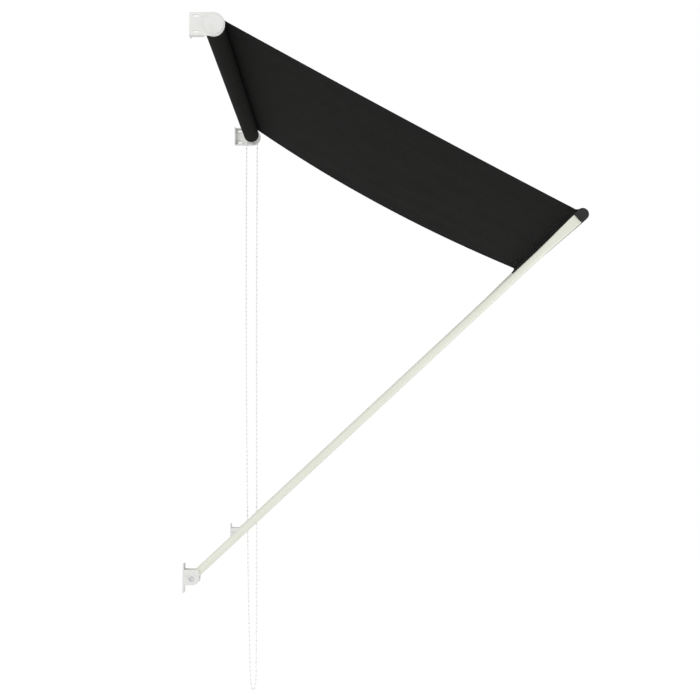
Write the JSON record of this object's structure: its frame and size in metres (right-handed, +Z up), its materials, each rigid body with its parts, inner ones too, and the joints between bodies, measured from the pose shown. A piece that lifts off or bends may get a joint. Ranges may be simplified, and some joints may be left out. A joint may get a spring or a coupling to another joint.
{
  "type": "drop-arm canvas awning",
  "caption": "Wall-mounted drop-arm awning: a chain-driven roller lets out a canvas sheet held tight by a front bar on two swinging tubular arms.",
  "frame": {"origin": "middle of the back face of the left roller bracket's wall flange, level with the roller axis", "axes": "+X along the roller towards the chain end, +Y into the wall, +Z up"},
  "size_m": [1.0059, 0.8223, 1.5926],
  "materials": {
    "white_paint": "white powder coat, satin",
    "cream_paint": "cream powder coat, satin",
    "white_plastic": "moulded, fine matt",
    "black_plastic": "moulded, fine matt",
    "canvas": "plain-woven polyester, anthracite",
    "aluminium": "mill finish, drawn",
    "zinc": "zinc plated",
    "chain_plastic": "moulded beads, glossy"
  },
  "bodies": {
    "wall_frame": {"left_upper_bracket": "white_paint", "right_upper_bracket": "white_paint", "left_bracket_cap": "white_plastic", "right_bracket_cap": "white_plastic", "left_arm_bracket": "white_paint", "right_arm_bracket": "white_paint", "left_pivot_bolt": "zinc", "right_pivot_bolt": "zinc", "left_pivot_nut": "zinc", "right_pivot_nut": "zinc", "drive_hub": "white_plastic", "clutch_spring": "zinc", "chain_guard": "white_plastic", "bead_chain": "chain_plastic"},
    "roller": {"roller_tube": "aluminium", "canvas_roll": "canvas", "idler_plug": "white_plastic", "idler_pin": "zinc", "chain_wheel": "black_plastic"},
    "canvas": {"canvas_sheet": "canvas"},
    "left_arm": {"left_arm": "cream_paint", "left_arm_left_bush": "black_plastic", "left_arm_right_bush": "black_plastic", "left_knuckle": "black_plastic", "left_bar_pin": "zinc"},
    "right_arm": {"right_arm": "cream_paint", "right_arm_left_bush": "black_plastic", "right_arm_right_bush": "black_plastic", "right_knuckle": "black_plastic", "right_bar_pin": "zinc"},
    "front_bar": {"front_bar": "cream_paint", "left_bar_plug": "black_plastic", "right_bar_plug": "black_plastic", "canvas_hem": "canvas"}
  },
  "joints": [
    {"name": "left_arm_swing", "type": "hinge", "parent": "wall_frame", "child": "left_arm", "pos_m": [0.001, -0.0172, -1.132], "axis": [1, 0, 0], "range_deg": [-42, 0], "deforming": ["canvas_sheet"]},
    {"name": "right_arm_swing", "type": "hinge", "parent": "wall_frame", "child": "right_arm", "pos_m": [0.965, -0.0172, -1.132], "axis": [1, 0, 0], "range_deg": [-42, 0]},
    {"name": "roller_turn", "type": "hinge", "parent": "wall_frame", "child": "roller", "pos_m": [0, -0.049, 0], "axis": [1, 0, 0], "range_deg": [-2070, 0]},
    {"name": "canvas_tilt", "type": "hinge", "parent": "wall_frame", "child": "canvas", "pos_m": [0, -0.049, 0], "axis": [1, 0, 0], "range_deg": [0, 24.4]},
    {"name": "front_bar_turn", "type": "hinge", "parent": "left_arm", "child": "front_bar", "pos_m": [0.001, -0.8087, -0.39133], "axis": [1, 0, 0], "range_deg": [0, 66.4]}
  ],
  "couplings": [
    {"joint": "right_arm_swing", "follows": "left_arm_swing", "ratio": 1},
    {"joint": "roller_turn", "follows": "left_arm_swing", "ratio": 49.286},
    {"joint": "canvas_tilt", "follows": "left_arm_swing", "ratio": -0.58099},
    {"joint": "front_bar_turn", "follows": "left_arm_swing", "ratio": -1.581}
  ]
}
